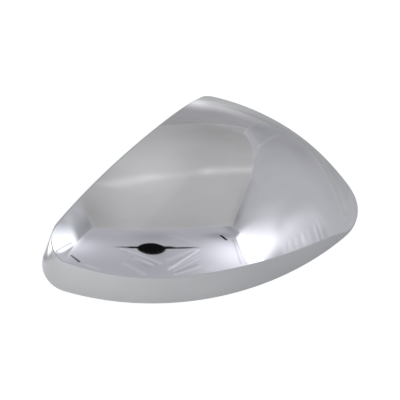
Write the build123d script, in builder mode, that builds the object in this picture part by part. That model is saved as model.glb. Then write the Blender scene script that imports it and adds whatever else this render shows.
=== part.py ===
from build123d import *
import os
from math import cos, exp, hypot, log1p, radians, sin, sqrt, tan

os.makedirs("parts", exist_ok=True)

# Sizes in millimetres, angles in degrees
# Rim outline: the overlap of three large circles, with rounded corners
front_radius = 191.2
front_x, front_y = -31.0, 127.6
back_radius = 179.0
back_x, back_y = -38.5, -82.5
side_radius = 900.0
side_angle = 137.0
side_reach = 64.5
side_corner = 6.0
back_corner = 2.0
tip_corner = 13.5

# Shell wall, which leans in from the rim to the crease
wall = 2.5
draft = 16.7
crease_round = 1.5

# Crowned outer face: straight across to the left of the crest and curved to the right of it, curved
# from front to back, and rolled off toward the front and the back
crest_height = 50.3
crest_x, crest_y = -13.0, 18.2
cross_radius = 310.0
cross_ease = 12.0
along_radius = 259.0
front_roll_inset = 45.0
front_roll_shift_x, front_roll_shift_y = -5.7, -6.8
front_roll_slope = 0.51
front_roll_ease = 13.75
back_roll_inset = 28.0
back_roll_slope = 0.47
back_roll_ease = 6.5
edge_land = 1.6
edge_land_ease = 1.5

# Snap hooks moulded on the inside, each placed by the way the wall faces there
front_hook_ways = (-105.0, -85.0, -65.0)
back_hook_ways = (48.0, 66.0)
hook_inset = 10.0
hook_width = 10.0
hook_thickness = 2.0
hook_tip = 2.5
barb_reach = 1.5
barb_rise = 4.0

# Fineness of the face that carries the crown
face_margin = 6.0
face_steps = 40
face_tolerance = 0.01
slope_step = 0.05

lean = crest_height * tan(radians(draft))


def eased(reach, ease):
    """A length that is near nothing below a reach of nothing and then follows it."""
    return ease * log1p(exp(reach / ease))


def crown(x, y):
    """Height of the outer face above the rim."""
    sag = eased(x - crest_x, cross_ease) ** 2 / (2 * cross_radius) + (y - crest_y) ** 2 / (2 * along_radius)
    front_roll_x = front_x + front_roll_shift_x
    front_roll_y = front_y + front_roll_shift_y
    past_front = hypot(x - front_roll_x, y - front_roll_y) - front_radius + front_roll_inset
    past_back = hypot(x - back_x, y - back_y) - back_radius + back_roll_inset
    front_fall = front_roll_slope * eased(past_front, front_roll_ease)
    back_fall = back_roll_slope * eased(past_back, back_roll_ease)
    height = crest_height - sag - front_fall - back_fall
    return edge_land + eased(height - edge_land, edge_land_ease)


def under_crown(x, y, depth):
    """Height of the face that lies a depth inside the outer face, measured square to it."""
    rise_x = (crown(x + slope_step, y) - crown(x - slope_step, y)) / (2 * slope_step)
    rise_y = (crown(x, y + slope_step) - crown(x, y - slope_step)) / (2 * slope_step)
    return crown(x, y) - depth * sqrt(1 + rise_x**2 + rise_y**2)


def outline(inset):
    """The rim outline, moved in by an inset."""
    side_offset = side_reach - side_radius
    spare = wall + lean - inset
    with BuildSketch() as drawn:
        with Locations((front_x, front_y)):
            Circle(front_radius - inset)
        with Locations((back_x, back_y)):
            Circle(back_radius - inset, mode=Mode.INTERSECT)
        with Locations((side_offset * cos(radians(side_angle)), side_offset * sin(radians(side_angle)))):
            Circle(side_radius - inset, mode=Mode.INTERSECT)
        fillet(drawn.vertices().sort_by(Axis.X)[0], side_corner + spare)
        fillet(drawn.vertices().sort_by(Axis.X)[-1], tip_corner + spare)
        fillet(drawn.vertices().sort_by(Axis.Y)[-1], back_corner + spare)
    return drawn.sketch


rim_box = outline(0).bounding_box()
middle = rim_box.center()


def crown_face(depth):
    """The smooth face a depth inside the outer one, reaching past the rim on every side."""
    columns = []
    for i in range(face_steps + 1):
        x = rim_box.min.X - face_margin + (rim_box.size.X + 2 * face_margin) * i / face_steps
        column = []
        for j in range(face_steps + 1):
            y = rim_box.min.Y - face_margin + (rim_box.size.Y + 2 * face_margin) * j / face_steps
            column.append((x - middle.X, y - middle.Y, under_crown(x, y, depth)))
        columns.append(column)
    return Face.make_surface_from_array_of_points(columns, tol=face_tolerance)


def hook_plane(centre_x, centre_y, reach, way):
    """Upright plane square to the wall at a hook, with its X toward the wall and its Y up."""
    turn = radians(way)
    x = centre_x + reach * cos(turn) - middle.X
    y = centre_y + reach * sin(turn) - middle.Y
    return Plane((x, y, 0), x_dir=(cos(turn), sin(turn), 0), z_dir=(sin(turn), -cos(turn), 0))


# Hollow: the same form, one wall thickness smaller
with BuildPart() as hollow:
    with BuildSketch(Plane((-middle.X, -middle.Y, 0))):
        add(outline(wall))
    with BuildSketch(Plane((-middle.X, -middle.Y, crest_height))):
        add(outline(wall + lean))
    loft(ruled=True)
    split(bisect_by=crown_face(wall), keep=Keep.BOTTOM)

# Hooks: plain tabs that hang from the face, each with a barb toward the wall
front_planes = [hook_plane(front_x, front_y, front_radius - hook_inset, way) for way in front_hook_ways]
back_planes = [hook_plane(back_x, back_y, back_radius - hook_inset, way) for way in back_hook_ways]
barb_top = hook_tip + barb_rise
with BuildPart() as hooks:
    with BuildSketch(*front_planes, *back_planes):
        with BuildLine():
            Polyline(
                (0, crest_height),
                (0, barb_top),
                (barb_reach, barb_top),
                (0, hook_tip),
                (-hook_thickness, hook_tip),
                (-hook_thickness, crest_height),
                close=True,
            )
        make_face()
    extrude(amount=hook_width / 2, both=True)
    split(bisect_by=crown_face(wall / 2), keep=Keep.BOTTOM)

# Cover: leaning wall, crowned face with a softened crease, hollow inside
with BuildPart() as cover:
    with BuildSketch(Plane((-middle.X, -middle.Y, 0))):
        add(outline(0))
    with BuildSketch(Plane((-middle.X, -middle.Y, crest_height))):
        add(outline(lean))
    loft(ruled=True)
    split(bisect_by=crown_face(0), keep=Keep.BOTTOM)
    fillet(cover.faces().sort_by(Axis.Z)[-1].edges(), crease_round)
    add(hollow.part, mode=Mode.SUBTRACT)
    add(hooks.part)

cover.part.label = "mirror_cover"
export_step(cover.part, "parts/mirror_cover.step")
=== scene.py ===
"""Wing mirror cover: a bright-plated moulded shell that lies on its rim in a plain light tent.

Everything is in metres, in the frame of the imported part: the rim lies on z = 0, the crowned face looks up
along +Z, and the origin is the middle of the rim's box.
"""

import logging
import math
from abc import ABC, abstractmethod
from collections.abc import Callable
from dataclasses import dataclass, field
from enum import Enum

import bpy
import numpy as np
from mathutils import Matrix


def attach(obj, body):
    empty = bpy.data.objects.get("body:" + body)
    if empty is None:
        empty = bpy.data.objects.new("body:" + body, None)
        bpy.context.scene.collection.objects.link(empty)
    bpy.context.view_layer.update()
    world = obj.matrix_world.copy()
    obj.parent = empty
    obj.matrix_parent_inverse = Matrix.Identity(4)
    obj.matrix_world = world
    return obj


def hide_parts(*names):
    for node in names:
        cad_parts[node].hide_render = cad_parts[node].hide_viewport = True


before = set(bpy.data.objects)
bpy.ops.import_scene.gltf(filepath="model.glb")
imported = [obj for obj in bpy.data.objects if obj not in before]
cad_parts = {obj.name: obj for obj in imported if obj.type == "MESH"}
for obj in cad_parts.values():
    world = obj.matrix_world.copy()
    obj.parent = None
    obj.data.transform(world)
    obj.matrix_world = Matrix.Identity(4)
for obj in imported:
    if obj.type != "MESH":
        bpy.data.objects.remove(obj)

Array = np.ndarray
Amount = np.ndarray | float
Socket = bpy.types.NodeSocket
Flat = tuple[float, float]
Triple = tuple[float, float, float]

LOG = logging.getLogger("mirror_cover")
COVER_NODE = "mirror_cover"
BODY = "root"
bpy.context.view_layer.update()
NOISE_MIDDLE = 0.5


def eased(reach: Array, ease: float) -> Array:
    """Near nothing below a reach of nothing, then the reach itself: ease * log(1 + exp(reach / ease))."""
    return ease * np.logaddexp(0.0, reach / ease)


def turned(way: Array) -> Array:
    """Level unit vectors that point along angles in radians, as an array of x and y."""
    return np.stack([np.cos(way), np.sin(way)], axis=-1)


def unit(vectors: Array) -> Array:
    """The same vectors at length one."""
    return vectors / np.linalg.norm(vectors, axis=-1, keepdims=True)


def solid(level: Array, height: Array) -> Array:
    """Points from level places of x and y with a height for each."""
    return np.concatenate([level, height[..., None]], axis=-1)


def shares(count: int) -> Array:
    """Even shares as a column: the first is one part of the count, and the last is the whole."""
    return np.linspace(0.0, 1.0, count + 1)[1:, None]


@dataclass(frozen=True)
class RimCircle:
    """One large circle of the rim outline."""

    x: float
    y: float
    radius: float

    @property
    def centre(self) -> Array:
        """Centre as an array of x and y."""
        return np.array([self.x, self.y])


@dataclass(frozen=True)
class RimOutline:
    """The closed rim outline: three large circles that overlap, with a round at each corner.

    A point is found by the way that its wall faces. The arc that faces that way has a centre and a radius,
    and the point lies that radius, less an inset, out from that centre.
    """

    front: RimCircle = RimCircle(-0.031, 0.1276, 0.1912)
    back: RimCircle = RimCircle(-0.0385, -0.0825, 0.179)
    side_radius: float = 0.9
    side_angle: float = 137.0
    side_reach: float = 0.0645
    side_corner: float = 0.02359
    back_corner: float = 0.01959
    tip_corner: float = 0.03109
    least_points: int = 10

    @property
    def side(self) -> RimCircle:
        """The nearly straight side toward the car, as a very large circle."""
        x, y = turned(np.radians(self.side_angle)) * (self.side_reach - self.side_radius)
        return RimCircle(float(x), float(y), self.side_radius)

    def corner_centre(self, before: RimCircle, after: RimCircle, corner: float) -> Array:
        """Centre of a round that touches two circles from inside.

        It lies as far from each circle's centre as that circle's radius less the round's own.

        Args:
            before: The circle that the round comes from, going counter-clockwise.
            after: The circle that it runs into.
            corner: Radius of the round.

        Returns:
            The centre as x and y.
        """
        gap = before.centre - after.centre
        apart = math.hypot(*gap)
        reach, other = after.radius - corner, before.radius - corner
        along = (apart**2 + reach**2 - other**2) / (2 * apart)
        across = math.sqrt(reach**2 - along**2)
        ahead = gap / apart
        return after.centre + ahead * along - across * np.array([-ahead[1], ahead[0]])

    def arcs(self) -> tuple[Array, Array, Array]:
        """The six arcs in order, counter-clockwise from the corner between side and front.

        Returns:
            Their centres, their radii, and the seven angles at which they start and the last one ends.
        """
        circles = (self.side, self.front, self.back, self.side)
        corners = (self.side_corner, self.tip_corner, self.back_corner)
        ways, centres, radii = [], [], []
        for before, after, corner in zip(circles, circles[1:], corners):
            centre = self.corner_centre(before, after, corner)
            ways += [math.atan2(*(centre - circle.centre)[::-1]) for circle in (before, after)]
            centres += [centre, after.centre]
            radii += [corner, after.radius]
        steps = np.mod(np.diff([*ways, ways[0]]), 2 * np.pi)
        starts = ways[0] + np.concatenate([[0.0], np.cumsum(steps)])
        return np.array(centres), np.array(radii), starts

    def ways(self, count: int) -> Array:
        """Angles round the rim, spread so that their points lie about evenly along it.

        Args:
            count: About how many angles are wanted.

        Returns:
            The angles in radians, once round.
        """
        _, radii, starts = self.arcs()
        lengths = radii * np.diff(starts)
        counts = np.maximum(self.least_points, np.round(count * lengths / lengths.sum()).astype(int))
        spans = zip(starts[:-1], starts[1:], counts)
        return np.concatenate([np.linspace(start, stop, many, endpoint=False) for start, stop, many in spans])

    def points(self, ways: Array, inset: Amount) -> Array:
        """Points of the outline moved in by an inset.

        Args:
            ways: Angles that the wall faces.
            inset: Distance in from the rim, one for all or one for each.

        Returns:
            Their x and y, before the outline is moved to its middle.
        """
        centres, radii, starts = self.arcs()
        round_once = starts[0] + np.mod(ways - starts[0], 2 * np.pi)
        index = np.clip(np.searchsorted(starts, round_once, side="right") - 1, 0, len(radii) - 1)
        reach = radii[index] - inset
        return centres[index] + reach[..., None] * turned(ways)

    def middle(self) -> Array:
        """Middle of the rim's box, from its furthest points right, back, left and front."""
        far = self.points(np.radians([0.0, 90.0, 180.0, 270.0]), 0.0)
        return np.array([(far[0, 0] + far[2, 0]) / 2, (far[1, 1] + far[3, 1]) / 2])


@dataclass(frozen=True)
class CrownedFace:
    """The crowned outer face, as a height over each point of the rim plane.

    Height is the crest, less a sag that grows with the square of the distance to the right, to the front and
    to the back, less an eased fall past a front circle and another past a back circle, and never less than a
    narrow land at the edge. To the left of the crest the face is straight across.
    """

    outline: RimOutline
    crest_height: float = 0.0503
    crest_x: float = -0.013
    crest_y: float = 0.0182
    cross_radius: float = 0.310
    cross_ease: float = 0.012
    along_radius: float = 0.259
    front_roll_inset: float = 0.045
    front_roll_shift_x: float = -0.0057
    front_roll_shift_y: float = -0.0068
    front_roll_slope: float = 0.51
    front_roll_ease: float = 0.01375
    back_roll_inset: float = 0.028
    back_roll_slope: float = 0.47
    back_roll_ease: float = 0.0065
    edge_land: float = 0.0016
    edge_land_ease: float = 0.0015
    slope_step: float = 0.00005

    def height(self, at: Array) -> Array:
        """Height of the outer face.

        Args:
            at: Places as x and y, before the outline is moved to its middle.

        Returns:
            One height for each place.
        """
        x, y = at[..., 0], at[..., 1]
        front, back = self.outline.front, self.outline.back
        right = eased(x - self.crest_x, self.cross_ease)
        sag = right**2 / (2 * self.cross_radius) + (y - self.crest_y) ** 2 / (2 * self.along_radius)
        from_front = np.hypot(x - front.x - self.front_roll_shift_x, y - front.y - self.front_roll_shift_y)
        past_front = from_front - front.radius + self.front_roll_inset
        past_back = np.hypot(x - back.x, y - back.y) - back.radius + self.back_roll_inset
        fall = self.front_roll_slope * eased(past_front, self.front_roll_ease)
        fall = fall + self.back_roll_slope * eased(past_back, self.back_roll_ease)
        height = self.crest_height - sag - fall
        return self.edge_land + eased(height - self.edge_land, self.edge_land_ease)

    def slopes(self, height: Callable[[Array], Array], at: Array) -> Array:
        """Slopes along x and along y, at places of x and y, of what gives each place its height."""
        rises = [height(at + step) - height(at - step) for step in self.slope_step * np.eye(2)]
        return np.stack(rises, axis=-1) / (2 * self.slope_step)

    def under(self, at: Array, depth: float) -> Array:
        """Height of the face that lies a depth inside the outer one, measured square to it."""
        steepness = np.sqrt(1 + np.sum(self.slopes(self.height, at) ** 2, axis=-1))
        return self.height(at) - depth * steepness

    def normals(self, at: Array, depth: float) -> Array:
        """Upward unit normals of the face at a depth, one for each place of x and y."""
        rise = self.slopes(lambda place: self.under(place, depth), at)
        return unit(solid(-rise, np.ones(rise.shape[:-1])))


@dataclass
class Rings:
    """Rings of points that follow each other over a surface, with the surface's normal at each point."""

    points: list[Array] = field(default_factory=list)
    normals: list[Array] = field(default_factory=list)

    def add(self, points: Array, normals: Array) -> None:
        """Takes on more rings, each an array of points by three."""
        self.points.append(points)
        self.normals.append(np.broadcast_to(normals, points.shape))

    def count(self) -> int:
        """How many rings there are so far."""
        return sum(len(block) for block in self.points)


def mesh_from_arrays(name: str, points: Array, faces: list[Array]) -> bpy.types.Mesh:
    """Makes a mesh from whole arrays.

    Args:
        name: Name of the mesh.
        points: Points by three.
        faces: Arrays of corner numbers, one array for each count of corners.

    Returns:
        The mesh, shaded smooth.
    """
    mesh = bpy.data.meshes.new(name)
    corners = np.concatenate([block.ravel() for block in faces]).astype(np.int32)
    sizes = np.concatenate([np.full(len(block), block.shape[1]) for block in faces]).astype(np.int32)
    starts = np.concatenate([[0], np.cumsum(sizes)[:-1]]).astype(np.int32)
    mesh.vertices.add(len(points))
    mesh.vertices.foreach_set("co", points.astype(np.float32).ravel())
    mesh.loops.add(len(corners))
    mesh.loops.foreach_set("vertex_index", corners)
    mesh.polygons.add(len(sizes))
    mesh.polygons.foreach_set("loop_start", starts)
    mesh.polygons.foreach_set("use_smooth", np.ones(len(sizes), dtype=bool))
    mesh.update(calc_edges=True)
    mesh.validate()
    return mesh


def placed(name: str, mesh: bpy.types.Mesh) -> bpy.types.Object:
    """A new object at the origin that holds a mesh.

    Args:
        name: Name of the object.
        mesh: The mesh.

    Returns:
        The object, as part of the scene.
    """
    piece = bpy.data.objects.new(name, mesh)
    bpy.context.scene.collection.objects.link(piece)
    return piece


def stage_sheet(name: str, corners: Array, finish: bpy.types.Material, seen: bool) -> None:
    """Sets up a flat sheet of the studio.

    Args:
        name: Name of the sheet.
        corners: Its four corners, in order round it.
        finish: Its material.
        seen: Whether the camera itself sees it.
    """
    mesh = mesh_from_arrays(name, corners, [np.array([[0, 1, 2, 3]])])
    mesh.materials.append(finish)
    piece = placed(name, mesh)
    piece.visible_camera = seen


class NodeBoard:
    """A material's or the world's node tree, with short calls for the nodes used here."""

    def __init__(self, owner: bpy.types.ID) -> None:
        """Starts from an empty tree.

        Args:
            owner: A material or a world.
        """
        owner.use_nodes = True
        self.tree = owner.node_tree
        self.tree.nodes.clear()

    def feed(self, target: Socket, source: Socket | float | tuple) -> None:
        """Links a socket to an input, or sets the input's own value.

        Args:
            target: The input.
            source: The socket or the value that goes into it.
        """
        if isinstance(source, bpy.types.NodeSocket):
            self.tree.links.new(source, target)
        else:
            target.default_value = source

    def node(self, kind: str, *values: Socket | float | tuple, **settings: object) -> bpy.types.Node:
        """Adds a node.

        Args:
            kind: Blender's name of the node.
            values: What goes into its first inputs, in order.
            settings: The node's own properties.

        Returns:
            The node.
        """
        made = self.tree.nodes.new(kind)
        for key, value in settings.items():
            setattr(made, key, value)
        for target, value in zip(made.inputs, values):
            self.feed(target, value)
        return made

    def math(self, operation: str, *values: Socket | float) -> Socket:
        """The result of a Math node."""
        return self.node("ShaderNodeMath", *values, operation=operation).outputs[0]

    def vector(self, operation: str, *values: Socket | tuple) -> Socket:
        """The vector that a Vector Math node gives."""
        return self.node("ShaderNodeVectorMath", *values, operation=operation).outputs["Vector"]

    def measure(self, operation: str, *values: Socket | tuple) -> Socket:
        """The number that a Vector Math node gives."""
        return self.node("ShaderNodeVectorMath", *values, operation=operation).outputs["Value"]

    def object_place(self) -> Socket:
        """The piece's own Object coordinates."""
        return self.node("ShaderNodeTexCoord").outputs["Object"]

    def flat_place(self, place: Socket, first: int, second: int) -> Socket:
        """Two of a place's three coordinates, by their numbers, as a flat place with nothing as its third."""
        parts = self.node("ShaderNodeSeparateXYZ", place).outputs
        return self.node("ShaderNodeCombineXYZ", parts[first], parts[second]).outputs[0]

    def off(self, place: Socket, start: Flat) -> Socket:
        """A flat place, measured from another one."""
        return self.vector("SUBTRACT", place, (*start, 0.0))

    def along(self, off: Socket, way: Array) -> Socket:
        """How far an offset goes along a flat direction: their dot product."""
        return self.measure("DOT_PRODUCT", off, (*way, 0.0))

    def noise(self, place: Socket, scale: float, detail: float) -> Socket:
        """A Noise texture's value over a place.

        Args:
            place: Coordinates to read.
            scale: Waves in a metre.
            detail: Octaves of finer waves.

        Returns:
            The value, near NOISE_MIDDLE on average.
        """
        made = self.node("ShaderNodeTexNoise", place)
        self.feed(made.inputs["Scale"], scale)
        self.feed(made.inputs["Detail"], detail)
        return made.outputs["Fac"]

    def ranged(self, value: Socket, *ends: float, way: str = "LINEAR") -> Socket:
        """A value carried from one range to a second one, which is nothing to one if it isn't given."""
        return self.node("ShaderNodeMapRange", value, *ends, interpolation_type=way).outputs["Result"]

    def fading(self, away: Socket, edge: float = 2.0) -> Socket:
        """A share that is one at no distance and fades out past one: exp(-away ** edge)."""
        return self.math("EXPONENT", self.math("MULTIPLY", self.math("POWER", away, edge), -1.0))

    def finish(self, shader: Socket, kind: str = "ShaderNodeOutputMaterial") -> None:
        """Ends the tree with an output node."""
        self.tree.links.new(shader, self.node(kind).inputs["Surface"])


@dataclass(frozen=True)
class Veil:
    """A noise over the piece, by its waves in a metre, that gives an amount between a low and a high one."""

    scale: float
    detail: float
    low: float
    high: float
    noise_low: float = 0.3
    noise_high: float = 0.7
    stretch: Triple = (1.0, 1.0, 1.0)

    def value(self, board: NodeBoard, place: Socket) -> Socket:
        """Builds the noise over a place and carries it to its amounts."""
        noise = board.noise(board.vector("MULTIPLY", place, self.stretch), self.scale, self.detail)
        return board.ranged(noise, self.noise_low, self.noise_high, self.low, self.high)


@dataclass(frozen=True)
class Plating:
    """A metal finish: a clouded tone, a roughness that varies, and fine waves or grain as bump."""

    name: str
    tone: Veil
    roughness: Veil
    wave_scale: float
    wave_detail: float
    wave_height: float

    def material(self) -> bpy.types.Material:
        """Builds the material.

        Returns:
            A metallic material that reads Object coordinates.
        """
        made = bpy.data.materials.new(self.name)
        board = NodeBoard(made)
        place = board.object_place()
        shader = board.node("ShaderNodeBsdfPrincipled")
        shader.inputs["Metallic"].default_value = 1.0
        tone = self.tone.value(board, place)
        grey = board.node("ShaderNodeCombineColor", tone, tone, tone)
        board.feed(shader.inputs["Base Color"], grey.outputs[0])
        board.feed(shader.inputs["Roughness"], self.roughness.value(board, place))
        bump = board.node("ShaderNodeBump")
        bump.inputs["Strength"].default_value = 1.0
        bump.inputs["Distance"].default_value = self.wave_height
        board.feed(bump.inputs["Height"], board.noise(place, self.wave_scale, self.wave_detail))
        board.feed(shader.inputs["Normal"], bump.outputs["Normal"])
        board.finish(shader.outputs[0])
        return made


# Outside: a clear mirror with a trace of tone, wiped smears and the faint waves of the moulding
MIRROR_PLATING = Plating(
    name="bright_mirror_plating",
    tone=Veil(15.0, 2.0, 0.45, 0.49),
    roughness=Veil(60.0, 5.0, 0.012, 0.050, noise_low=0.35, noise_high=0.75, stretch=(1.0, 2.5, 1.0)),
    wave_scale=26.0, wave_detail=1.0, wave_height=0.00004,
)

# Inside, where the moulding was left unpolished: dull and clouded, with a fine grain
SATIN_PLATING = Plating(
    name="satin_inner_plating",
    tone=Veil(35.0, 4.0, 0.385, 0.425),
    roughness=Veil(35.0, 4.0, 0.46, 0.39),
    wave_scale=2200.0, wave_detail=2.0, wave_height=0.00002,
)


@dataclass(frozen=True)
class Bend:
    """A round between the leaning wall and the face, with one value for each angle round the rim.

    Attributes:
        inset: Inset of the round's core.
        height: Height of the core.
        radius: Radius of the round.
        top: Height at which the round leaves the wall.
        lift: Angle of the face's normal over the level outward direction, in radians.
        edge: Place on the face, as x and y, at which the round ends.
    """

    inset: Array
    height: Array
    radius: Array
    top: Array
    lift: Array
    edge: Array


@dataclass
class CoverShell:
    """The moulded shell: crowned face, rounded crease, leaning wall, flat rim and the hollow inside.

    The whole skin is one run of rings, each a closed loop that follows the rim: from a pole in the middle of
    the face out to the crease, down the wall, under the rim, up the inner wall and back to an inner pole.

    Attributes:
        inner_round_share: The most that the hollow's round may be of the height there.
        least_hollow: Least height of the hollow at its edge. Where the face is lower, the rim is wider.
        rim_search: The widest rim that is looked for, as a share of the tip's corner.
        crease_turns: How often the height of the crease is bettered.
        rim_turns: How often the search for the rim's width is halved.
    """

    outline: RimOutline
    face: CrownedFace
    wall: float = 0.0025
    draft: float = 16.7
    crease_round: float = 0.0015
    rim_round: float = 0.0003
    inner_round: float = 0.001
    inner_round_share: float = 1 / 3
    least_hollow: float = 0.0005
    rim_search: float = 0.6
    crease_turns: int = 60
    rim_turns: int = 40
    around: int = 520
    face_rings: int = 80
    wall_rings: int = 9
    round_rings: int = 8
    rim_round_rings: int = 6
    inner_face_rings: int = 36

    def __post_init__(self) -> None:
        """Works out the angles round the rim once, with what every ring needs of them."""
        self.tilt = math.radians(self.draft)
        self.lean = math.tan(self.tilt)
        self.ways = self.outline.ways(self.around)
        self.middle = self.outline.middle()
        self.outward = turned(self.ways)
        self.wall_normals = self.section_normals(np.full(len(self.ways), self.tilt))

    def section_points(self, inset: Array, height: Array) -> Array:
        """Points in the part's frame, from insets and heights of rings by angles."""
        ways = np.broadcast_to(self.ways, inset.shape)
        return solid(self.outline.points(ways, inset) - self.middle, height)

    def section_normals(self, lift: Array) -> Array:
        """Unit normals in each angle's upright plane, lifted by an angle over the level outward direction."""
        return solid(np.cos(lift)[..., None] * self.outward, np.sin(lift))

    def arc_points(self, inset: Amount, height: Amount, radius: Amount, lifts: Array) -> Array:
        """Points of a round about a core at an inset and a height, from one angle of lift to the next."""
        return self.section_points(inset - radius * np.cos(lifts), height + radius * np.sin(lifts))

    def height_under(self, inset: Amount, depth: float) -> Array:
        """Height of the face at a depth, at an inset for each angle."""
        return self.face.under(self.outline.points(self.ways, inset), depth)

    def bend(self, foot: Array, depth: float, radius: float, share: float) -> Bend:
        """The round where the leaning wall meets the face.

        The height of the meeting is found by turns: the wall's inset at a height, then the face's height at
        that inset.

        Args:
            foot: Inset of the wall at the rim plane, one for each angle.
            depth: Depth of the face inside the outer one.
            radius: Radius of the round.
            share: The most that the radius may be of the height of the meeting.

        Returns:
            The round at each angle.
        """
        height = np.full(len(self.ways), self.face.crest_height / 2)
        for _ in range(self.crease_turns):
            height = (height + self.height_under(foot + height * self.lean, depth)) / 2
        inset = foot + height * self.lean
        normal = self.face.normals(self.outline.points(self.ways, inset), depth)
        lift = np.arctan2(normal[:, 2], np.sum(normal[:, :2] * self.outward, axis=-1))
        held = np.minimum(radius, share * height)
        reach = held * np.tan((lift - self.tilt) / 2)
        top = height - reach * math.cos(self.tilt)
        return Bend(
            inset=inset - reach * math.sin(self.tilt) + held * math.cos(self.tilt),
            height=top - held * math.sin(self.tilt),
            radius=held, top=top, lift=lift,
            edge=self.outline.points(self.ways, inset + reach * np.sin(lift)),
        )

    def inner_foot(self) -> Array:
        """Inset of the hollow's edge at the rim plane: the wall, or more where the face comes down too low.

        Returns:
            One inset for each angle.
        """
        low = np.full(len(self.ways), self.wall)
        high = np.full(len(self.ways), self.outline.tip_corner * self.rim_search)
        for _ in range(self.rim_turns):
            half = (low + high) / 2
            short = self.height_under(half, self.wall) < self.least_hollow
            low, high = np.where(short, half, low), np.where(short, high, half)
        return np.where(self.height_under(self.wall, self.wall) < self.least_hollow, high, self.wall)

    def outer_rings(self) -> Rings:
        """Rings from the middle of the face to the foot of the wall.

        Returns:
            The rings, with the pole's ring left out.
        """
        rings = Rings()
        bend = self.bend(np.zeros(len(self.ways)), 0.0, self.crease_round, 1.0)
        at = self.middle + (bend.edge - self.middle) * shares(self.face_rings)[..., None]
        rings.add(solid(at - self.middle, self.face.height(at)), self.face.normals(at, 0.0))

        turn = shares(self.round_rings)
        lifts = bend.lift + (self.tilt - bend.lift) * turn
        edge_normals = rings.normals[0][-1]
        between = unit(edge_normals * (1 - turn[..., None]) + self.wall_normals * turn[..., None])
        rings.add(self.arc_points(bend.inset, bend.height, bend.radius, lifts), between)

        foot = self.rim_round * math.tan((math.pi / 2 + self.tilt) / 2) * math.cos(self.tilt)
        heights = bend.top + (foot - bend.top) * shares(self.wall_rings)
        rings.add(self.section_points(heights * self.lean, heights), self.wall_normals)
        return rings

    def rim_rings(self, foot: Array) -> Rings:
        """Rings under the rim: a small round at each edge of the flat face between them.

        Args:
            foot: Inset of the hollow's edge at each angle.

        Returns:
            The rings, from the outer edge to the inner one.
        """
        rings = Rings()
        down, inward = -math.pi / 2, self.tilt - math.pi
        reach = self.rim_round * math.tan((self.tilt - down) / 2)
        outer = reach * math.sin(self.tilt) + self.rim_round * math.cos(self.tilt)
        inner = foot - self.rim_round * math.tan((down - inward) / 2)
        for core, lifts in (
            (outer, np.linspace(self.tilt, down, self.rim_round_rings)[1:]),
            (inner, np.linspace(down, inward, self.rim_round_rings)),
        ):
            lifts = lifts[:, None] * np.ones(len(self.ways))
            points = self.arc_points(core, self.rim_round, self.rim_round, lifts)
            rings.add(points, self.section_normals(lifts))
        return rings

    def inner_rings(self, foot: Array) -> Rings:
        """Rings up the inner wall, round the inner crease and in over the hollow's roof.

        Args:
            foot: Inset of the hollow's edge at each angle.

        Returns:
            The rings, with the inner pole's ring left out.
        """
        rings = Rings()
        bend = self.bend(foot, self.wall, self.inner_round, self.inner_round_share)
        start = np.minimum(self.rim_round * (1 - math.sin(self.tilt)), bend.top / 2)
        heights = start + (bend.top - start) * shares(self.wall_rings - 1)
        rings.add(self.section_points(foot + heights * self.lean, heights), -self.wall_normals)

        turn = shares(self.round_rings - 1)
        lifts = self.tilt + (bend.lift - self.tilt) * turn
        roof_normals = self.face.normals(bend.edge, self.wall)
        between = unit(self.wall_normals * (1 - turn[..., None]) + roof_normals * turn[..., None])
        rings.add(self.arc_points(bend.inset, bend.height, bend.radius, lifts), -between)

        still_out = np.linspace(1.0, 0.0, self.inner_face_rings + 1)[1:-1, None, None]
        at = self.middle + (bend.edge - self.middle) * still_out
        rings.add(solid(at - self.middle, self.face.under(at, self.wall)), -self.face.normals(at, self.wall))
        return rings

    def build(self) -> bpy.types.Object:
        """Joins all rings into one closed skin with a pole at each end.

        Returns:
            The shell's object. Its first material is for the outside, its second for the inside.
        """
        foot = self.inner_foot()
        outer, rim, inner = self.outer_rings(), self.rim_rings(foot), self.inner_rings(foot)
        points = np.concatenate(outer.points + rim.points + inner.points)
        normals = np.concatenate(outer.normals + rim.normals + inner.normals)
        many, rows = len(self.ways), len(points)
        pole = self.middle[None]
        poles = np.array([[0.0, 0.0, self.face.under(pole, depth)[0]] for depth in (0.0, self.wall)])
        pole_normals = np.concatenate([self.face.normals(pole, 0.0), -self.face.normals(pole, self.wall)])
        grid = np.arange(rows * many).reshape(rows, many)
        ahead = np.roll(grid, -1, axis=1)
        quads = np.stack([grid[:-1], grid[1:], ahead[1:], ahead[:-1]], axis=-1).reshape(-1, 4)
        top, bottom = rows * many, rows * many + 1
        caps = np.concatenate([
            np.stack([np.full(many, top), grid[0], ahead[0]], axis=-1),
            np.stack([grid[-1], np.full(many, bottom), ahead[-1]], axis=-1),
        ])
        corners = np.concatenate([points.reshape(-1, 3), poles])
        mesh = mesh_from_arrays("mirror_cover_shell", corners, [quads, caps])
        mesh.normals_split_custom_set_from_vertices(np.concatenate([normals.reshape(-1, 3), pole_normals]))
        inside = np.repeat(np.arange(rows - 1) >= outer.count() + rim.count() - 1, many)
        cap_sides = np.repeat([False, True], many)
        mesh.polygons.foreach_set("material_index", np.concatenate([inside, cap_sides]).astype(np.int32))
        return placed("mirror_cover_shell", mesh)

    def dress(self, piece: bpy.types.Object, outside: bpy.types.Material, inside: bpy.types.Material) -> None:
        """Gives the outside and the inside their finishes."""
        piece.data.materials.append(outside)
        piece.data.materials.append(inside)


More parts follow.
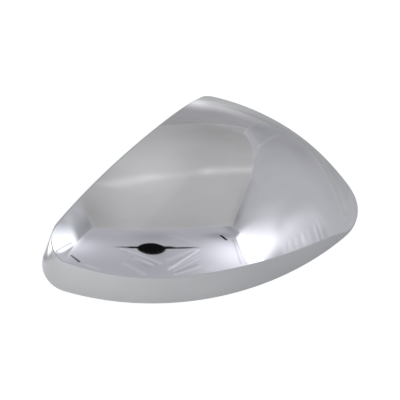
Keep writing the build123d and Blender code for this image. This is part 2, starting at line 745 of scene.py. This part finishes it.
@dataclass
class SnapHooks:
    """The tabs moulded inside: each hangs from the face and has a barb toward the wall."""

    shell: CoverShell
    front_ways: tuple[float, ...] = (-105.0, -85.0, -65.0)
    back_ways: tuple[float, ...] = (48.0, 66.0)
    inset: float = 0.010
    width: float = 0.010
    thickness: float = 0.002
    tip: float = 0.0025
    barb_reach: float = 0.0015
    barb_rise: float = 0.004
    edge_round: float = 0.00025
    edge_segments: int = 2

    def profile(self) -> Array:
        """Side view of a tab: distances toward the wall, and heights, with the root's left at nothing."""
        catch = self.tip + self.barb_rise
        return np.array([
            [0.0, 0.0], [0.0, catch], [self.barb_reach, catch],
            [0.0, self.tip], [-self.thickness, self.tip], [-self.thickness, 0.0],
        ])

    def build(self) -> bpy.types.Object:
        """Carries the profile across each tab's width and roots its top in the middle of the shell's wall.

        Returns:
            One object that holds every tab as a closed form.
        """
        outline, face = self.shell.outline, self.shell.face
        circles = [outline.front] * len(self.front_ways) + [outline.back] * len(self.back_ways)
        ways = np.radians(np.array(self.front_ways + self.back_ways))
        ahead = turned(ways)
        aside = np.stack([-ahead[:, 1], ahead[:, 0]], axis=-1)
        stand = np.array([circle.centre for circle in circles])
        stand = stand + ahead * (np.array([circle.radius for circle in circles]) - self.inset)[:, None]
        profile = self.profile()
        corners = len(profile)
        half = np.array([-0.5, 0.5]) * self.width
        level = (
            stand[:, None, None]
            + ahead[:, None, None] * profile[None, None, :, :1]
            + aside[:, None, None] * half[None, :, None, None]
        )
        height = np.broadcast_to(profile[:, 1], level.shape[:-1])
        height = np.where(height == 0.0, face.under(level, self.shell.wall / 2), height)
        points = solid(level - self.shell.middle, height).reshape(-1, 3)
        first = np.arange(corners)
        after = np.roll(first, -1)
        sides = np.stack([first, after, after + corners, first + corners], axis=-1)
        # Each end is two four-sided faces, the tab above the catch and the barb below it
        ends = np.array([[0, 1, 4, 5], [1, 2, 3, 4]])
        block = np.concatenate([sides, ends[:, ::-1], ends + corners])
        faces = (block[None] + (2 * corners * np.arange(len(ways)))[:, None, None]).reshape(-1, 4)
        piece = placed("snap_hooks", mesh_from_arrays("snap_hooks", points, [faces]))
        soften = piece.modifiers.new("soft_edges", "BEVEL")
        soften.width = self.edge_round
        soften.segments = self.edge_segments
        soften.limit_method = "ANGLE"
        soften.harden_normals = True
        return piece

    def dress(self, piece: bpy.types.Object, finish: bpy.types.Material) -> None:
        """Gives the tabs the finish of the shell's inside."""
        piece.data.materials.append(finish)


class ClothMark(ABC):
    """A soft mark on a sheet, brighter or darker than the rest, in the sheet's two coordinates."""

    strength: float

    @abstractmethod
    def share(self, board: NodeBoard, place: Socket) -> Socket:
        """Builds this mark's share at a place.

        Args:
            board: The node tree to build in.
            place: Flat place on the sheet.

        Returns:
            A value from nothing to one.
        """


@dataclass(frozen=True)
class Spot(ClothMark):
    """An ellipse about a place, that fades out past its radii: a higher edge is firmer."""

    centre: Flat
    radii: Flat
    strength: float
    edge: float = 2.0

    def share(self, board: NodeBoard, place: Socket) -> Socket:
        """Builds the share from the distance in radii."""
        away = board.vector("DIVIDE", board.off(place, self.centre), (*self.radii, 1.0))
        return board.fading(board.measure("LENGTH", away), self.edge)


@dataclass(frozen=True)
class Fold(ClothMark):
    """A line between two places, that fades out past its half width."""

    start: Flat
    end: Flat
    half_width: float
    strength: float

    def share(self, board: NodeBoard, place: Socket) -> Socket:
        """Builds the share from the nearest place on the line.

        Args:
            board: The node tree to build in.
            place: Flat place on the sheet.

        Returns:
            A value from nothing to one.
        """
        run = np.subtract(self.end, self.start)
        off = board.off(place, self.start)
        held = board.ranged(board.along(off, run / np.dot(run, run)), 0.0, 1.0)
        away = board.vector("SUBTRACT", off, board.vector("MULTIPLY", held, (*run, 0.0)))
        return board.fading(board.math("DIVIDE", board.measure("LENGTH", away), self.half_width))


@dataclass(frozen=True)
class Border:
    """A straight border through a place, with the direction in from it and the width of its soft edge."""

    through: Flat
    inward: Flat
    soft: float

    def step(self, board: NodeBoard, place: Socket) -> Socket:
        """A smooth step from nothing outside the border to one inside it."""
        reach = board.along(board.off(place, self.through), unit(np.array(self.inward)))
        return board.ranged(reach, -self.soft, self.soft, way="SMOOTHSTEP")


@dataclass(frozen=True)
class Patch(ClothMark):
    """A patch within straight borders. Its share is the product of the borders' smooth steps."""

    borders: tuple[Border, ...]
    strength: float

    def share(self, board: NodeBoard, place: Socket) -> Socket:
        """Builds the share border by border.

        Args:
            board: The node tree to build in.
            place: Flat place on the sheet.

        Returns:
            A value from nothing to one.
        """
        total = self.borders[0].step(board, place)
        for border in self.borders[1:]:
            total = board.math("MULTIPLY", total, border.step(board, place))
        return total


Marks = tuple[ClothMark, ...]


def marked(board: NodeBoard, level: Socket | float, marks: Marks, place: Socket) -> Socket | float:
    """A level with each mark's share of its strength added.

    Args:
        board: The node tree to build in.
        level: The plain level.
        marks: The marks, in the order they are added.
        place: Flat place on the sheet.

    Returns:
        The level with all marks.
    """
    for mark in marks:
        level = board.math("MULTIPLY_ADD", mark.share(board, place), mark.strength, level)
    return level


@dataclass(frozen=True)
class Cloth:
    """One panel's glow: its plain level, its tint and its marks."""

    level: float
    tint: Triple
    marks: Marks


LAMP_GLOW = 2.2

# The ceiling: a bowed bright seam, lighter cloth at the left and shade toward the back
CEILING_BEAM = Patch((
    Border((0.018, 0.132), (-0.975, 0.222), 0.014),
    Border((-0.05, 0.185), (0.12, -0.99), 0.02),
    Border((-0.12, 0.0), (1.0, 0.0), 0.03),
), 0.045)
CEILING_CLOTH = Cloth(0.88, (1.0, 1.0, 1.02), (
    Fold((-0.122, 0.116), (-0.062, 0.176), 0.026, 0.19),
    Fold((-0.045, 0.188), (0.09, 0.208), 0.028, 0.1),
    Fold((0.09, 0.207), (0.3, 0.215), 0.032, 0.22),
    Spot((-0.07, 0.26), (0.075, 0.28), 0.19),
    Spot((0.11, 0.06), (0.08, 0.12), 0.045),
    Spot((-0.15, 0.23), (0.045, 0.12), -0.14),
    CEILING_BEAM,
    Spot((0.12, 0.62), (0.3, 0.24), -0.22),
    Spot((-0.204, -0.12), (0.058, 0.18), -0.22),
    Spot((-0.2, -0.065), (0.012, 0.045), 0.07),
    Spot((0.302, -0.12), (0.03, 0.2), -0.14),
    Spot((0.06, -0.23), (0.2, 0.08), -0.07),
    Patch((Border((-0.022, 0.643), (-0.622, 0.783), 0.008),), -0.1),
    Fold((-0.06, 0.613), (0.1, 0.74), 0.008, 0.05),
))

# The front: a viewing slot with its flaps, folds below it, the hems and the glow of the lamp at the right
FRONT_FOLDS = (
    Fold((-0.103, 0.35), (-0.022, 0.264), 0.004, 0.18),
    Fold((-0.096, 0.332), (-0.03, 0.26), 0.004, -0.09),
    Fold((-0.072, 0.288), (-0.04, 0.262), 0.004, 0.16),
    Fold((-0.088, 0.262), (-0.05, 0.224), 0.004, 0.12),
    Fold((0.078, 0.333), (-0.006, 0.241), 0.003, 0.44),
    Fold((0.07, 0.3), (0.002, 0.246), 0.0025, 0.16),
    Fold((0.045, 0.3), (-0.004, 0.252), 0.0025, 0.14),
    Fold((-0.085, 0.32), (-0.034, 0.256), 0.0025, 0.14),
    Fold((-0.078, 0.3), (-0.045, 0.25), 0.0025, -0.08),
    Fold((0.066, 0.338), (-0.006, 0.28), 0.006, 0.14),
    Fold((0.058, 0.322), (0.0, 0.258), 0.004, -0.14),
    Fold((0.066, 0.25), (0.004, 0.224), 0.003, 0.22),
    Fold((0.07, 0.285), (0.004, 0.234), 0.0025, 0.2),
    Fold((0.058, 0.258), (0.008, 0.231), 0.004, -0.16),
    Fold((0.005, 0.476), (0.075, 0.382), 0.006, 0.08),
)
FRONT_HEMS = (
    Fold((0.229, 0.4), (0.198, 0.262), 0.003, -0.45),
    Fold((0.246, 0.402), (0.222, 0.262), 0.003, -0.55),
    Fold((-0.196, 0.297), (-0.172, 0.268), 0.002, -0.95),
    Fold((-0.158, 0.256), (-0.13, 0.24), 0.003, 0.14),
    Fold((0.191, 0.446), (0.2, 0.404), 0.005, -1.8),
    Fold((0.199, 0.454), (0.21, 0.404), 0.003, 0.16),
)
FRONT_SLOT = (
    Spot((-0.041, 0.35), (0.031, 0.047), 0.12, 6.0),
    Spot((-0.084, 0.359), (0.032, 0.0065), -0.62, 4.0),
    Spot((0.03, 0.349), (0.048, 0.0065), -0.82, 4.0),
    Spot((-0.044, 0.356), (0.0235, 0.036), -3.0, 8.0),
    Spot((-0.036, 0.345), (0.0245, 0.034), -3.0, 8.0),
    Spot((-0.074, 0.357), (0.014, 0.008), -0.6, 4.0),
    Spot((-0.006, 0.354), (0.017, 0.01), -1.0, 4.0),
)
FRONT_LAMP = Patch((
    Border((0.238, 0.345), (0.984, -0.178), 0.006),
    Border((0.24, 0.4), (0.76, -0.65), 0.012),
    Border((0.27, 0.265), (0.0, 1.0), 0.015),
), LAMP_GLOW)
FRONT_CLOTH = Cloth(0.85, (0.965, 0.965, 1.075), FRONT_FOLDS + FRONT_HEMS + FRONT_SLOT + (
    FRONT_LAMP,
    Spot((0.215, 0.305), (0.125, 0.085), 1.15),
    Spot((0.15, 0.265), (0.06, 0.04), 0.08),
    Spot((0.19, 0.445), (0.07, 0.04), -0.3),
    Spot((-0.04, 0.465), (0.055, 0.06), -0.17),
    Spot((-0.14, 0.33), (0.05, 0.06), 0.1),
    Spot((-0.045, 0.25), (0.05, 0.03), -0.06),
    Spot((-0.025, 0.308), (0.022, 0.022), -0.12),
    Spot((-0.204, 0.375), (0.008, 0.05), 0.6),
    Spot((-0.204, 0.35), (0.044, 0.06), 0.6),
    Spot((0.095, 0.24), (0.03, 0.02), 0.12),
    Spot((0.272, 0.54), (0.03, 0.08), -0.25),
))

# The right: the lamp beside the front corner, its soft tail with ripples, and shade toward the back
RIPPLE_START = np.array([-0.158, 0.207])
RIPPLE_STEP = np.array([0.0195, -0.015])
RIPPLE_RUN = np.array([-0.016, -0.011])


def ripple(step: float, length: float, half_width: float, strength: float) -> Fold:
    """One ripple of the right cloth's soft tail.

    Args:
        step: Its place along the tail, in steps from the first one.
        length: Its length, as a share of the plain run.
        half_width: Half of its width.
        strength: How much brighter or darker it is.

    Returns:
        The ripple as a fold.
    """
    start = RIPPLE_START + step * RIPPLE_STEP
    return Fold(tuple(start), tuple(start + length * RIPPLE_RUN), half_width, strength)


RIGHT_RIPPLES = tuple(
    ripple(*sizes)
    for sizes in (
        (0.0, 0.8, 0.004, -0.14), (0.45, 0.7, 0.004, 0.12), (1.15, 0.9, 0.005, -0.1),
        (1.55, 0.6, 0.003, 0.14), (2.2, 1.1, 0.006, -0.13), (2.75, 0.8, 0.004, 0.16),
        (3.1, 0.5, 0.003, -0.12), (3.75, 1.2, 0.005, 0.08), (4.3, 0.9, 0.004, -0.06),
        (4.9, 1.5, 0.005, 0.12), (5.3, 1.7, 0.004, -0.16), (5.75, 1.4, 0.004, 0.12),
        (6.3, 1.2, 0.007, -0.05),
    )
)
RIGHT_LAMP = Patch((
    Border((-0.205, 0.335), (-0.9, -0.43), 0.09),
    Border((-0.2, 0.245), (0.45, 0.89), 0.03),
    Border((-0.24, 0.468), (-0.55, -0.83), 0.03),
), LAMP_GLOW)
RIGHT_CORNER = Patch((
    Border((0.5, 0.462), (0.0, 1.0), 0.006),
    Border((0.437, 0.466), (0.68, 0.73), 0.008),
), 0.06)
RIGHT_CLOTH = Cloth(0.88, (0.972, 0.978, 1.06), RIGHT_RIPPLES + (
    RIGHT_LAMP,
    Spot((-0.14, 0.35), (0.06, 0.08), 0.2),
    Spot((-0.095, 0.3), (0.045, 0.06), 0.12),
    Spot((-0.058, 0.1), (0.02, 0.018), -0.14),
    Fold((-0.2, 0.575), (0.08, 0.58), 0.05, -0.13),
    Spot((-0.142, 0.243), (0.035, 0.03), -0.34),
    Fold((-0.175, 0.205), (-0.115, 0.162), 0.022, 0.3),
    Fold((-0.15, 0.225), (-0.08, 0.175), 0.04, 0.22),
    Spot((-0.045, 0.125), (0.035, 0.04), 0.2),
    Spot((0.05, 0.25), (0.15, 0.2), 0.04),
    Spot((-0.22, 0.57), (0.12, 0.06), -0.2),
    Spot((0.5, 0.1), (0.25, 0.45), -0.21),
    Spot((0.7, 0.25), (0.12, 0.2), -0.14),
    Spot((0.28, 0.1), (0.1, 0.1), -0.06),
    Spot((0.25, 0.0), (0.18, 0.11), -0.07),
    Fold((0.43, 0.5), (0.48, 0.1), 0.016, 0.08),
    RIGHT_CORNER,
))

# The left: a smaller lamp low beside the front corner, with its hem and its foot, and shade above it
LEFT_LAMP = Patch((
    Border((-0.196, 0.335), (-0.9, -0.43), 0.055),
    Border((-0.23, 0.395), (0.35, -0.94), 0.03),
    Border((-0.2546, 0.314), (0.957, 0.288), 0.006),
    Border((-0.22, 0.248), (0.774, 0.633), 0.006),
), LAMP_GLOW)
LEFT_FOOT = Patch((
    Border((-0.2, 0.25), (0.762, 0.648), 0.008),
    Border((-0.15, 0.245), (0.0, -1.0), 0.02),
    Border((-0.13, 0.2), (-1.0, 0.0), 0.03),
), 1.5)
LEFT_CLOTH = Cloth(0.78, (0.96, 0.985, 1.06), (
    LEFT_LAMP,
    LEFT_FOOT,
    Fold((-0.251, 0.35), (-0.223, 0.256), 0.003, -1.9),
    Spot((-0.245, 0.27), (0.045, 0.045), 0.26),
    Spot((-0.25, 0.5), (0.06, 0.09), -0.15),
    Spot((-0.11, 0.5), (0.06, 0.14), 0.12),
    Spot((-0.215, 0.56), (0.05, 0.05), -0.1),
    Spot((-0.17, 0.58), (0.05, 0.018), -0.08),
    Spot((-0.165, 0.4), (0.045, 0.05), 0.24),
))

# The back: shaded, lighter low down behind the cover, with a bowed seam
BACK_CLOTH = Cloth(0.67, (0.99, 0.99, 1.04), (
    Spot((0.04, 0.02), (0.045, 0.1), 0.32, 4.0),
    Spot((0.04, 0.15), (0.06, 0.11), 0.38),
    Spot((0.11, 0.05), (0.14, 0.12), 0.38),
    Fold((0.15, 0.58), (0.29, 0.455), 0.02, 0.08),
    Patch((Border((0.219, 0.483), (0.637, 0.77), 0.008),), 0.05),
))


class Panel(Enum):
    """The sides of the light tent.

    Each has the number of the axis that it stands across, whether it is at the far end there, and its cloth.
    """

    CEILING = (2, True, CEILING_CLOTH)
    LEFT = (0, False, LEFT_CLOTH)
    RIGHT = (0, True, RIGHT_CLOTH)
    FRONT = (1, False, FRONT_CLOTH)
    BACK = (1, True, BACK_CLOTH)

    def __init__(self, axis: int, far: bool, cloth: Cloth) -> None:
        """Keeps the axis, the end and the cloth by name."""
        self.axis, self.far, self.cloth = axis, far, cloth

    @property
    def axes(self) -> list[int]:
        """Numbers of the two axes that lie in the panel."""
        return [axis for axis in range(3) if axis != self.axis]

    @property
    def label(self) -> str:
        """The panel's name in small letters."""
        return self.name.lower()


@dataclass(frozen=True)
class LightTent:
    """A tent of pale cloth round the cover, lit from outside, that the plating mirrors.

    Its panels glow at a plain level and aren't seen by the camera itself.
    """

    left: float = -0.204
    right: float = 0.302
    front: float = -0.269
    back: float = 0.738
    ceiling: float = 0.589
    hem_width: float = 0.007
    hem_glow: float = 0.05
    wave_scale: float = 7.0
    wave_detail: float = 2.0
    wave_glow: float = 0.10
    least_glow: float = 0.01

    def corners(self, panel: Panel) -> Array:
        """The four corners of a panel, in order round it.

        Args:
            panel: Which side of the tent.

        Returns:
            Four points.
        """
        low = np.array([self.left, self.front, 0.0])
        high = np.array([self.right, self.back, self.ceiling])
        first, second = panel.axes
        points = np.tile(low, (4, 1))
        points[[1, 2], first] = high[first]
        points[[2, 3], second] = high[second]
        points[:, panel.axis] = (high if panel.far else low)[panel.axis]
        return points

    def hem(self, board: NodeBoard, place: Socket, panel: Panel) -> Socket:
        """The light seam along a panel's borders: a share that falls off from the nearest border.

        Args:
            board: The node tree to build in.
            place: Flat place on the panel.
            panel: Which side of the tent.

        Returns:
            A value from nothing to one.
        """
        corners = self.corners(panel)[:, panel.axes]
        low, high = (*corners.min(axis=0), 0.0), (*corners.max(axis=0), 1.0)
        from_low, from_high = board.vector("SUBTRACT", place, low), board.vector("SUBTRACT", high, place)
        inside = board.node("ShaderNodeSeparateXYZ", board.vector("MINIMUM", from_low, from_high)).outputs
        return board.fading(board.math("DIVIDE", board.math("MINIMUM", inside[0], inside[1]), self.hem_width))

    def material(self, panel: Panel) -> bpy.types.Material:
        """The glowing cloth of one panel.

        Args:
            panel: Which side of the tent.

        Returns:
            An emitting material whose strength is the panel's level with its hem and every mark added.
        """
        made = bpy.data.materials.new(f"tent_cloth_{panel.label}")
        board, cloth = NodeBoard(made), panel.cloth
        place = board.object_place()
        wave = board.math("SUBTRACT", board.noise(place, self.wave_scale, self.wave_detail), NOISE_MIDDLE)
        level = board.math("MULTIPLY_ADD", wave, self.wave_glow, cloth.level)
        flat = board.flat_place(place, *panel.axes)
        level = board.math("MULTIPLY_ADD", self.hem(board, flat, panel), self.hem_glow, level)
        level = board.math("MAXIMUM", marked(board, level, cloth.marks, flat), self.least_glow)
        board.finish(board.node("ShaderNodeEmission", (*cloth.tint, 1.0), level).outputs[0])
        return made

    def build(self) -> None:
        """Sets up the panels, unseen by the camera."""
        for panel in Panel:
            stage_sheet(f"tent_{panel.label}", self.corners(panel), self.material(panel), seen=False)


# The floor as the plating mirrors it: painted light from the lamps, painted soft shade near the rim, and
# painted light along the foot of the tent
# A painted pool of lamp light on the floor beside the left corner
FLOOR_LIGHT = Patch((
    Border((-0.119, -0.0425), (-0.385, 0.923), 0.004),
    Border((-0.116, -0.03), (-1.0, 0.0), 0.003),
    Border((-0.15, -0.03), (1.0, 0.0), 0.01),
    Border((-0.12, 0.0), (0.0, -1.0), 0.02),
), 1.7)
FLOOR_PAINTED_LIGHT_AND_SHADE = (
    FLOOR_LIGHT,
    # Painted shade along the rim at the left corner
    Fold((-0.106, -0.02), (-0.111, -0.042), 0.004, -0.22),
    Fold((-0.108, -0.0415), (-0.124, -0.051), 0.0025, -0.2),
    Fold((-0.124, -0.051), (-0.131, -0.068), 0.0025, -0.12),
    # Painted light and shade spread over the floor, and painted light along the foot of the tent
    Spot((-0.14, -0.12), (0.115, 0.1), 0.46),
    Spot((0.04, 0.6), (0.075, 0.3), 0.6),
    Spot((0.15, 0.01), (0.06, 0.06), 0.15),
    Fold((0.245, -0.05), (0.245, 0.08), 0.045, 0.08),
    Fold((0.128, 0.018), (0.152, 0.075), 0.018, -0.1),
    Spot((-0.005, -0.095), (0.045, 0.04), 0.07),
    Spot((0.1, -0.028), (0.022, 0.022), -0.1),
    Fold((0.302, -0.05), (0.302, 0.6), 0.03, 0.1),
    Fold((0.06, 0.738), (0.302, 0.738), 0.03, 0.1),
)


@dataclass(frozen=True)
class Table:
    """The pale floor under the cover and the white world beyond it."""

    half_width: float = 3.0
    drop: float = 0.0001
    pale: Triple = (0.622, 0.632, 0.620)
    white: float = 0.55
    mirrored: float = 0.14

    def lift(self, board: NodeBoard) -> Socket:
        """How far the floor is lifted: to white for the camera and clear panes, and for mirrors to a softer
        glow with painted light and shade.

        Args:
            board: The node tree to build in.

        Returns:
            The glow's strength.
        """
        flat = board.flat_place(board.object_place(), 0, 1)
        glow = marked(board, self.mirrored, FLOOR_PAINTED_LIGHT_AND_SHADE, flat)
        path = board.node("ShaderNodeLightPath").outputs
        seen = board.math("MAXIMUM", path["Is Camera Ray"], path["Is Transmission Ray"])
        mirrored = board.math("MULTIPLY", path["Is Glossy Ray"], glow)
        return board.math("MAXIMUM", board.math("MULTIPLY", seen, self.white), mirrored)

    def material(self) -> bpy.types.Material:
        """The floor's material: a pale matt sheet that keeps the shadow, white where it is looked at.

        Returns:
            A matt material with a glow added to it.
        """
        made = bpy.data.materials.new("pale_floor_sheet")
        board = NodeBoard(made)
        matt = board.node("ShaderNodeBsdfDiffuse", (*self.pale, 1.0))
        glow = board.node("ShaderNodeEmission")
        board.feed(glow.inputs["Strength"], self.lift(board))
        board.finish(board.node("ShaderNodeAddShader", matt.outputs[0], glow.outputs[0]).outputs[0])
        return made

    def build(self) -> None:
        """Lays the floor and sets the world."""
        square = self.half_width * np.array([[-1.0, -1.0], [1.0, -1.0], [1.0, 1.0], [-1.0, 1.0]])
        stage_sheet("pale_floor", solid(square, np.full(4, -self.drop)), self.material(), seen=True)
        world = bpy.data.worlds.new("white_studio")
        board = NodeBoard(world)
        sky = board.node("ShaderNodeBackground", (1.0, 1.0, 1.0, 1.0), 1.0)
        board.finish(sky.outputs[0], "ShaderNodeOutputWorld")
        bpy.context.scene.world = world


@dataclass(frozen=True)
class ViewPoint:
    """The camera: it looks from the front and well above, as the photograph does."""

    aim: Triple = (-0.00177, -0.01318, 0.025)
    distance: float = 0.660
    elevation: float = 58.0
    lens: float = 90.0
    sensor: float = 36.0

    def build(self) -> None:
        """Sets the camera up as the scene's own."""
        data = bpy.data.cameras.new("photo_view")
        data.lens = self.lens
        data.sensor_width = self.sensor
        data.dof.use_dof = False
        lift = math.radians(self.elevation)
        camera = bpy.data.objects.new("photo_view", data)
        camera.location = (
            self.aim[0],
            self.aim[1] - self.distance * math.cos(lift),
            self.aim[2] + self.distance * math.sin(lift),
        )
        camera.rotation_euler = (math.pi / 2 - lift, 0.0, 0.0)
        bpy.context.scene.collection.objects.link(camera)
        bpy.context.scene.camera = camera


def main() -> None:
    """Builds the cover, its hooks, the studio and the camera in turn."""
    logging.basicConfig(level=logging.INFO, format="%(name)s: %(message)s")
    bpy.context.scene.view_settings.view_transform = "Standard"
    bright, satin = MIRROR_PLATING.material(), SATIN_PLATING.material()

    outline = RimOutline()
    shell = CoverShell(outline, CrownedFace(outline))
    skin = shell.build()
    shell.dress(skin, bright, satin)
    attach(skin, BODY)
    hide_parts(COVER_NODE)
    LOG.info("shell: %d points, %d faces", len(skin.data.vertices), len(skin.data.polygons))

    tabs = SnapHooks(shell)
    hooks = tabs.build()
    tabs.dress(hooks, satin)
    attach(hooks, BODY)
    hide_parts(COVER_NODE)
    LOG.info("hooks: %d faces", len(hooks.data.polygons))

    Table().build()
    LightTent().build()
    ViewPoint().build()
    LOG.info("studio and camera set")


if __name__ == "__main__":
    main()
